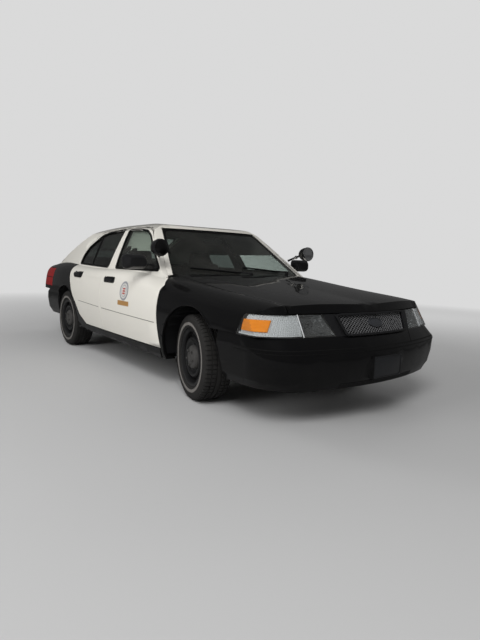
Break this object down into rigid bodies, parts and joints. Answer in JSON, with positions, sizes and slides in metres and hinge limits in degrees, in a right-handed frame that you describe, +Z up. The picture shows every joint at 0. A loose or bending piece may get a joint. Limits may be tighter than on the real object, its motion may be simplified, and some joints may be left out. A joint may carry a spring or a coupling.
{
  "type": "police patrol car",
  "caption": "Full-size four-door patrol sedan in black and white, with opening doors, hood and trunk lid, steering and free-rolling wheels, and a spotlight on each windshield pillar",
  "frame": {"origin": "centre of the footprint, on the ground", "axes": "X forward, Y to the car's left, Z up"},
  "size_m": [5.385, 2.2382, 1.4831],
  "materials": {
    "black_paint": "gloss",
    "white_paint": "gloss",
    "glass": "clear",
    "clear_lens": "clear",
    "amber_lens": "clear",
    "red_lens": "gloss",
    "lamp_reflector": "polished",
    "black_plastic": "matte",
    "spotlight_shell": "gloss",
    "wheel_steel": "satin",
    "tyre": "matte",
    "bare_iron": "rough",
    "chassis_black": "satin",
    "alloy": "satin",
    "exhaust_steel": "satin",
    "dash_plastic": "matte",
    "seat_cloth": "woven"
  },
  "bodies": {
    "body": {"roof": "white_paint", "windshield_and_rear_window": "glass", "front_fenders": "black_paint", "rear_quarters": "black_paint", "front_bumper": "black_paint", "rear_bumper": "black_paint", "headlamp_lenses": "clear_lens", "corner_lamps": "amber_lens", "lamp_housings": "lamp_reflector", "grille": "black_plastic", "tail_lamps": "red_lens", "sills_and_posts": "black_paint", "floor_pan": "chassis_black", "chassis_frame": "chassis_black", "engine_block": "bare_iron", "radiator": "alloy", "front_suspension_arms": "bare_iron", "fuel_tank": "black_plastic", "exhaust": "exhaust_steel", "firewall_and_cowl": "black_plastic", "dashboard": "dash_plastic", "front_seats": "seat_cloth", "rear_seat": "seat_cloth", "front_wheel_housings": "black_plastic", "rear_wheel_housings": "black_plastic", "spotlights": "spotlight_shell", "rear_axle": "bare_iron"},
    "hood": {"hood": "black_paint"},
    "trunk_lid": {"trunk_lid": "black_paint"},
    "steering_wheel": {"steering_wheel": "dash_plastic"},
    "door_front_left": {"door_front_left": "white_paint", "glass_front_left": "glass", "mirror_left": "black_plastic"},
    "door_rear_left": {"door_rear_left": "white_paint", "glass_rear_left": "glass"},
    "knuckle_left": {"knuckle_left": "bare_iron"},
    "wheel_front_left": {"rim_front_left": "wheel_steel", "tyre_front_left": "tyre"},
    "wheel_rear_left": {"rim_rear_left": "wheel_steel", "tyre_rear_left": "tyre"},
    "door_front_right": {"door_front_right": "white_paint", "glass_front_right": "glass", "mirror_right": "black_plastic"},
    "door_rear_right": {"door_rear_right": "white_paint", "glass_rear_right": "glass"},
    "knuckle_right": {"knuckle_right": "bare_iron"},
    "wheel_front_right": {"rim_front_right": "wheel_steel", "tyre_front_right": "tyre"},
    "wheel_rear_right": {"rim_rear_right": "wheel_steel", "tyre_rear_right": "tyre"}
  },
  "joints": [
    {"name": "door_front_left_hinge", "type": "hinge", "parent": "body", "child": "door_front_left", "pos_m": [1.0875, 0.993, 0.6], "axis": [0, 0, -1], "range_deg": [0, 68]},
    {"name": "door_rear_left_hinge", "type": "hinge", "parent": "body", "child": "door_rear_left", "pos_m": [-0.1255, 0.993, 0.6], "axis": [0, 0, -1], "range_deg": [0, 68]},
    {"name": "steer_left", "type": "hinge", "parent": "body", "child": "knuckle_left", "pos_m": [1.5575, 0.735, 0.34], "axis": [0, 0, 1], "range_deg": [-20, 42]},
    {"name": "roll_front_left", "type": "hinge", "parent": "knuckle_left", "child": "wheel_front_left", "pos_m": [1.57086, 0.80371, 0.34], "axis": [0.1908, 0.9816, 0], "continuous": true},
    {"name": "roll_rear_left", "type": "hinge", "parent": "body", "child": "wheel_rear_left", "pos_m": [-1.3555, 0.833, 0.34], "axis": [0, 1, 0], "continuous": true},
    {"name": "door_front_right_hinge", "type": "hinge", "parent": "body", "child": "door_front_right", "pos_m": [1.0875, -0.993, 0.6], "axis": [0, 0, 1], "range_deg": [0, 68]},
    {"name": "door_rear_right_hinge", "type": "hinge", "parent": "body", "child": "door_rear_right", "pos_m": [-0.1255, -0.993, 0.6], "axis": [0, 0, 1], "range_deg": [0, 68]},
    {"name": "steer_right", "type": "hinge", "parent": "body", "child": "knuckle_right", "pos_m": [1.5575, -0.735, 0.34], "axis": [0, 0, 1], "range_deg": [-20, 42]},
    {"name": "roll_front_right", "type": "hinge", "parent": "knuckle_right", "child": "wheel_front_right", "pos_m": [1.54414, -0.80371, 0.34], "axis": [0.1908, 0.9816, 0], "continuous": true},
    {"name": "roll_rear_right", "type": "hinge", "parent": "body", "child": "wheel_rear_right", "pos_m": [-1.3555, -0.833, 0.34], "axis": [0, 1, 0], "continuous": true},
    {"name": "hood_hinge", "type": "hinge", "parent": "body", "child": "hood", "pos_m": [0.9575, 0, 0.992], "axis": [0, -1, 0], "range_deg": [0, 55]},
    {"name": "trunk_hinge", "type": "hinge", "parent": "body", "child": "trunk_lid", "pos_m": [-2.0955, 0, 1.07], "axis": [0, 1, 0], "range_deg": [0, 75]},
    {"name": "steering_wheel_turn", "type": "hinge", "parent": "body", "child": "steering_wheel", "pos_m": [0.4775, 0.39, 0.79], "axis": [-0.9135, 0, 0.4067], "range_deg": [-320, 672]}
  ],
  "couplings": [
    {"joint": "steer_right", "follows": "steer_left", "ratio": 1},
    {"joint": "steering_wheel_turn", "follows": "steer_left", "ratio": 16}
  ]
}
